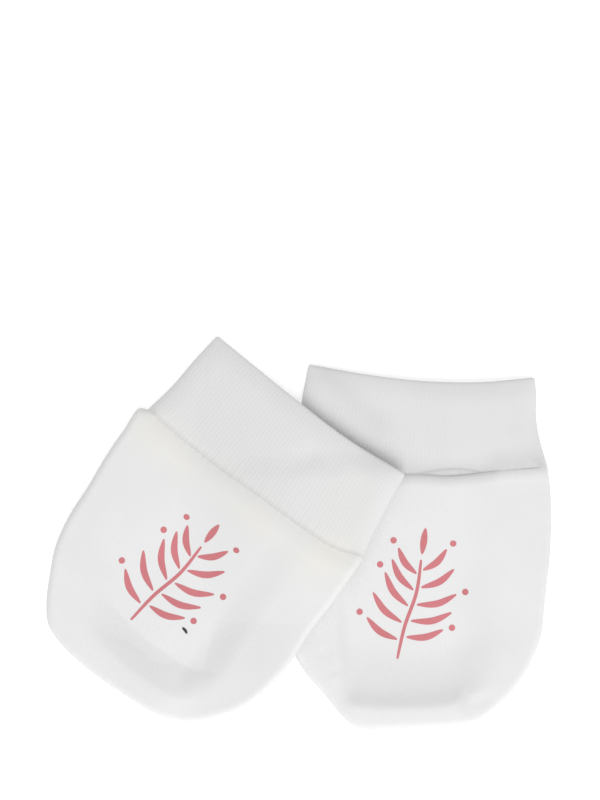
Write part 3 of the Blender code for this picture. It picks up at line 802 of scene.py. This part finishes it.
def makeKnit():
    # stitches in upright columns: across a column, two legs as a sine; along it, each row is raised
    # as a sine of the way up plus half the way out, so that the two legs make a V
    group, given, made = newGroup(
        "knitStitches",
        [
            ("Place", "NodeSocketVector", None),
            ("Column Width", "NodeSocketFloat", 0.0008),
            ("Row Height", "NodeSocketFloat", 0.0006),
            ("Shift", "NodeSocketFloat", 0.0),
            ("Fibres", "NodeSocketFloat", 0.3),
        ],
        [("Height", "NodeSocketFloat"), ("Groove", "NodeSocketFloat")],
    )
    place = given.outputs["Place"]
    split = group.nodes.new("ShaderNodeSeparateXYZ")
    group.links.new(place, split.inputs[0])
    across = calc(group, "DIVIDE", split.outputs["X"], given.outputs["Column Width"])
    across = calc(group, "FRACT", calc(group, "ADD", across, given.outputs["Shift"]))
    out = calc(group, "ABSOLUTE", calc(group, "MULTIPLY_ADD", across, 2.0, -1.0))
    up = calc(group, "DIVIDE", split.outputs["Y"], given.outputs["Row Height"])
    row = calc(group, "FRACT", calc(group, "MULTIPLY_ADD", out, 0.5, up))
    leg = calc(group, "SINE", calc(group, "MULTIPLY", out, math.pi))
    loop = calc(group, "SINE", calc(group, "MULTIPLY", row, math.pi))
    loop = calc(group, "MULTIPLY_ADD", loop, knitLook["loop"], 1 - knitLook["loop"])
    stitch = calc(group, "MULTIPLY", leg, loop)
    fuzz = noise(group, place, knitLook["fibreScale"])
    fuzz = calc(group, "MULTIPLY", fuzz, given.outputs["Fibres"])
    group.links.new(calc(group, "ADD", stitch, fuzz), made.inputs["Height"])
    group.links.new(calc(group, "SUBTRACT", 1.0, stitch, clamp=True), made.inputs["Groove"])
    return group


toneLook = {
    "broadScale": 70.0,  # of the patches, in blobs a metre
    "fineScale": 900.0,
    "fineShare": 0.5,  # of the broad patches' strength
    "aged": (0.80, 0.78, 0.70, 1.0),
}


def makeTone():
    # a cloth's colour, times one plus its patches less its painted shade, and mixed with the aged
    # colour by its age: the patches are broad and fine noise about 0, and the painted shade is that of
    # the knit's grooves and of the streaks
    group, given, made = newGroup(
        "clothTone",
        [
            ("Place", "NodeSocketVector", None),
            ("Colour", "NodeSocketColor", (0.8, 0.8, 0.8, 1.0)),
            ("Patchiness", "NodeSocketFloat", 0.03),
            ("Groove", "NodeSocketFloat", 0.0),
            ("Groove Shade", "NodeSocketFloat", 0.08),
            ("Painted_Shade", "NodeSocketFloat", 0.0),
            ("Age", "NodeSocketFloat", 0.0),
        ],
        [("Colour", "NodeSocketColor")],
    )
    place = given.outputs["Place"]
    broad = calc(group, "SUBTRACT", noise(group, place, toneLook["broadScale"], 1.0), 0.5)
    fine = calc(group, "SUBTRACT", noise(group, place, toneLook["fineScale"]), 0.5)
    patchy = calc(group, "MULTIPLY_ADD", fine, toneLook["fineShare"], broad)
    patchy = calc(group, "MULTIPLY", patchy, given.outputs["Patchiness"])
    painted_shade = calc(group, "MULTIPLY", given.outputs["Groove"], given.outputs["Groove Shade"])
    painted_shade = calc(group, "ADD", painted_shade, given.outputs["Painted_Shade"])
    bright = calc(group, "SUBTRACT", calc(group, "ADD", patchy, 1.0), painted_shade)
    grey = group.nodes.new("ShaderNodeCombineColor")
    for socket in grey.inputs:
        group.links.new(bright, socket)
    toned = mixColour(group, 1.0, given.outputs["Colour"], grey.outputs[0], "MULTIPLY")
    aged = mixColour(group, given.outputs["Age"], toned, toneLook["aged"])
    group.links.new(aged, made.inputs["Colour"])
    return group


knitStitches, clothTone = makeKnit(), makeTone()


def clothMaterial(name, look):
    # one knitted cloth: its tone on Object coordinates, its stitches on the cloth's own map, and its
    # age and painted shade from the piece's values; it is rougher in the grooves by a share of their
    # depth
    material = bpy.data.materials.new(name)
    material.use_nodes = True
    tree = material.node_tree
    shader = tree.nodes["Principled BSDF"]
    shader.inputs["Sheen Weight"].default_value = look["sheen"]
    shader.inputs["Sheen Roughness"].default_value = look["sheenRoughness"]
    shader.inputs["Specular IOR Level"].default_value = look["gloss"]
    stitches = tree.nodes.new("ShaderNodeGroup")
    stitches.node_tree = knitStitches
    onCloth = tree.nodes.new("ShaderNodeUVMap")
    onCloth.uv_map = "clothMap"
    tree.links.new(onCloth.outputs["UV"], stitches.inputs["Place"])
    for label in ("Column Width", "Row Height", "Shift", "Fibres"):
        stitches.inputs[label].default_value = look[label]
    tone = tree.nodes.new("ShaderNodeGroup")
    tone.node_tree = clothTone
    place = tree.nodes.new("ShaderNodeTexCoord")
    tree.links.new(place.outputs["Object"], tone.inputs["Place"])
    for label in ("Colour", "Patchiness", "Groove Shade"):
        tone.inputs[label].default_value = look[label]
    tree.links.new(stitches.outputs["Groove"], tone.inputs["Groove"])
    for label in look["ageAndPaintedShade"]:
        pieceValue = tree.nodes.new("ShaderNodeAttribute")
        pieceValue.attribute_name = label.lower()
        tree.links.new(pieceValue.outputs["Fac"], tone.inputs[label])
    tree.links.new(tone.outputs["Colour"], shader.inputs["Base Color"])
    rough, more = look["roughness"], look["grooveRoughness"]
    rough = calc(tree, "MULTIPLY_ADD", stitches.outputs["Groove"], more, rough)
    tree.links.new(rough, shader.inputs["Roughness"])
    bump = tree.nodes.new("ShaderNodeBump")
    bump.inputs["Strength"].default_value = look["relief"]
    bump.inputs["Distance"].default_value = look["reliefHeight"]
    tree.links.new(stitches.outputs["Height"], bump.inputs["Height"])
    tree.links.new(bump.outputs["Normal"], shader.inputs["Normal"])
    return material


jerseyLook = {
    "Colour": (0.775, 0.775, 0.775, 1.0),
    "Patchiness": 0.05,
    "Groove Shade": 0.05,
    "Column Width": 0.00075,
    "Row Height": 0.0006,
    "Shift": 0.0,
    "Fibres": 0.35,
    "relief": 0.35,
    "reliefHeight": 0.00012,
    "roughness": 0.86,
    "grooveRoughness": 0.08,  # more at the bottom of a groove
    "sheen": 0.08,
    "sheenRoughness": 0.5,
    "gloss": 0.2,
    "ageAndPaintedShade": ["Age", "Painted_Shade"],
}
ribbingLook = jerseyLook | {
    "Colour": (0.735, 0.735, 0.735, 1.0),
    "Column Width": girthPlaces()[-1] / cuff["ribCount"],  # one to a rib
    "Row Height": 0.0007,
    "Shift": 0.5,
    "relief": 0.25,
}
printLook = jerseyLook | {
    "Colour": (0.62, 0.202, 0.222, 1.0),
    "Patchiness": 0.20,
    "Groove Shade": 0.14,
    "relief": 0.25,
    "roughness": 0.74,
    "sheen": 0.0,
    "gloss": 0.3,
    "ageAndPaintedShade": [],
}
fleckLook = printLook | {"Colour": (0.05, 0.05, 0.055, 1.0), "Patchiness": 0.4}
jersey = clothMaterial("cottonJersey", jerseyLook)
ribbing = clothMaterial("cottonRibbing", ribbingLook)
printInk = clothMaterial("coralPrint", printLook)
darkLint = clothMaterial("darkLint", fleckLook)
print("materials made")

rightMitten["print"] = {"at": (-0.0017, -0.0339), "turn": math.radians(-6.0)}
leftMitten["print"] = {"at": (-0.0032, -0.0337), "turn": 0.0}

# soft yellowed patches by the left mitten's wrist seam: x, y, reach and strength
rightMitten["age"] = []
leftMitten["age"] = [
    (-0.0317, -0.0039, 0.0055, 0.34),
    (-0.0250, -0.0034, 0.0050, 0.22),
    (-0.0190, -0.0050, 0.0050, 0.26),
    (-0.0085, -0.0028, 0.0055, 0.16),
    (0.0010, -0.0054, 0.0050, 0.20),
    (0.0076, -0.0054, 0.0055, 0.34),
    (0.0275, -0.0050, 0.0070, 0.48),
    (0.0295, 0.0020, 0.0045, 0.16),
    (0.0245, 0.0115, 0.0060, 0.14),
]

# painted shade in streaks, where the cloth lies in shade: path, half width and strength
rightMitten["painted_shade"] = [
    # painted shade in the crevice of the wrist seam
    ([(-0.0060, -0.0002), (0.0220, -0.0002)], 0.0006, 0.10),
    # painted shadow that the left cuff casts on the right cuff
    ([(-0.0240, 0.0290), (-0.0100, 0.0140)], 0.0034, 0.055),
    # painted shade over the hand, above the fingertip fold
    ([(-0.0300, -0.0470), (-0.0100, -0.0540), (0.0100, -0.0550), (0.0200, -0.0480)], 0.0065, 0.035),
    # painted shade in the fingertip fold, at its right end
    ([(0.0090, -0.0640), (0.0125, -0.0657), (0.0165, -0.0648)], 0.0016, 0.055),
]
leftMitten["painted_shade"] = [
    # painted shade above the fold before the fingertips
    ([(-0.0230, -0.0460), (-0.0120, -0.0530)], 0.0065, 0.030),
    # painted shade along the fold before the fingertips
    ([(-0.0100, -0.0592), (-0.0010, -0.0600), (0.0092, -0.0600), (0.0140, -0.0570)], 0.0045, 0.045),
]


def ageAndPaintedShadeAt(mitten, flat):
    # age and painted shade at each point: for the age, the sum of the patches' strengths, each times a
    # bell curve of the distance from the patch's middle; for the painted shade, the same with the
    # streaks and the distance from each streak's path
    age, painted_shade = np.zeros(len(flat)), np.zeros(len(flat))
    for x, y, reach, strength in mitten["age"]:
        away = (flat - (x, y)) / reach
        age += strength * np.exp(-(away**2).sum(axis=1))
    for path, halfWidth, strength in mitten["painted_shade"]:
        distance, _, _ = offsetFrom(smoothCurve(path, fold["pathPoints"]), flat)
        painted_shade += strength * np.exp(-((distance / halfWidth) ** 2))
    return {"age": age, "painted_shade": painted_shade}


def makePanel(name, mitten, sides):
    # a front or a back from its outer side, inner side and places on the flat cloth
    outer, inner, places = sides
    corners, faces = closedShell(placed(mitten, outer), placed(mitten, inner))
    onCloth = np.tile(places.reshape(-1, 2), (2, 1))
    print(name, "made:", len(faces), "faces")
    return addPiece(name, corners, faces, onCloth, jersey, values=ageAndPaintedShadeAt(mitten, onCloth))


def makeCuff(name, mitten):
    # a cuff from its rings, whose last joins the first
    rings, places = cuffRings(mitten)
    corners, faces = closedTube(placed(mitten, rings))
    ageAndPaintedShade = ageAndPaintedShadeAt(mitten, rings[..., :2].reshape(-1, 2))
    print(name, "made:", len(faces), "faces")
    return addPiece(name, corners, faces, places.reshape(-1, 2), ribbing, girthPlaces()[-1], ageAndPaintedShade)


def makeMitten(mitten):
    # the three pieces of one mitten and its print, each told to the frame
    name = mitten["name"]
    front = makePanel(f"{name}Front", mitten, frontSides(mitten))
    back = makePanel(f"{name}Back", mitten, backSides(mitten))
    tube = makeCuff(f"{name}Cuff", mitten)
    slabs = laidOn(mitten, sprigPatches(), mitten["print"], sprig)
    motif = addPiece(f"{name}Print", *slabs, printInk)
    print(name, "print made:", len(slabs[1]), "faces")

    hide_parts(f"{name}_mitten_front")
    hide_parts(f"{name}_mitten_back")
    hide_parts(f"{name}_mitten_cuff")
    girth, length = girthPlaces()[-1], cuff["length"]


makeMitten(rightMitten)
makeMitten(leftMitten)

# a bit of dark lint on the left front
lint = {
    "path": [(0.0053, -0.0455), (0.0065, -0.0457), (0.0076, -0.0463)],
    "width": 0.0008,
    "taper": 0.5,
    "rows": 12,
    "at": (0.0, 0.0),
    "turn": 0.0,
    "above": 0.00012,
    "below": 0.00010,
}
thread = stroke(lint["path"], lint["width"], lint["taper"], lint["rows"])
slabs = laidOn(leftMitten, [thread], lint, lint)
addPiece("leftLint", *slabs, darkLint)
print("lint made")

# The camera looks straight down; the light is soft, a little brighter from the fingertips' side
view = {
    "over": (0.00036, 0.0374),
    "planeHeight": 0.002,  # of the cloth that the frame's height is measured on
    "frameHeight": 0.224,
    "lens": 135.0,
    "sensor": 36.0,
    "clip": (0.05, 20.0),
}
light = {
    "fill": 0.645,
    "key": 9.3,
    "keySize": 0.9,
    "keyAway": 1.2,
    "elevation": 56.0,
    "azimuth": 16.0,  # to the right of the fingertips' side
}
floorLook = {"half": 3.0, "colour": 0.92, "glow": 0.35}


def addCamera():
    # its distance from the cloth is the frame's height times the lens over the sensor
    camera = addObject("camera", bpy.data.cameras.new("camera"))
    camera.data.lens, camera.data.sensor_width = view["lens"], view["sensor"]
    away = view["frameHeight"] * view["lens"] / view["sensor"]
    camera.location = (*view["over"], view["planeHeight"] + away)
    camera.data.clip_start, camera.data.clip_end = view["clip"]
    bpy.context.scene.camera = camera


def addLight():
    # a big square lamp that faces the mittens, and an even white fill from all round
    up, aside = math.radians(light["elevation"]), math.radians(light["azimuth"])
    level = math.cos(up)
    towards = np.array([math.sin(aside) * level, -math.cos(aside) * level, math.sin(up)])
    lamp = bpy.data.lights.new("softbox", "AREA")
    lamp.energy, lamp.size = light["key"], light["keySize"]
    softbox = addObject("softbox", lamp)
    softbox.location = towards * light["keyAway"]
    softbox.rotation_euler = (math.pi / 2 - up, 0.0, aside)
    world = bpy.data.worlds.new("studio")
    world.use_nodes = True
    background = world.node_tree.nodes["Background"]
    background.inputs["Color"].default_value = (1.0, 1.0, 1.0, 1.0)
    background.inputs["Strength"].default_value = light["fill"]
    bpy.context.scene.world = world


def addFloor():
    # a wide pale square that glows a little, so that it stays plain under the shadows
    half = floorLook["half"]
    mesh = bpy.data.meshes.new("floor")
    corners = [(-half, -half, 0.0), (half, -half, 0.0), (half, half, 0.0), (-half, half, 0.0)]
    mesh.from_pydata(corners, [], [(0, 1, 2, 3)])
    material = bpy.data.materials.new("paleFloor")
    material.use_nodes = True
    shader = material.node_tree.nodes["Principled BSDF"]
    shader.inputs["Base Color"].default_value = (*[floorLook["colour"]] * 3, 1.0)
    shader.inputs["Roughness"].default_value = 1.0
    shader.inputs["Specular IOR Level"].default_value = 0.0
    shader.inputs["Emission Color"].default_value = (1.0, 1.0, 1.0, 1.0)
    shader.inputs["Emission Strength"].default_value = floorLook["glow"]
    mesh.materials.append(material)
    floor = addObject("floor", mesh)


addCamera()
addLight()
addFloor()
bpy.context.scene.view_settings.view_transform = "Standard"
print("camera, light and floor made")
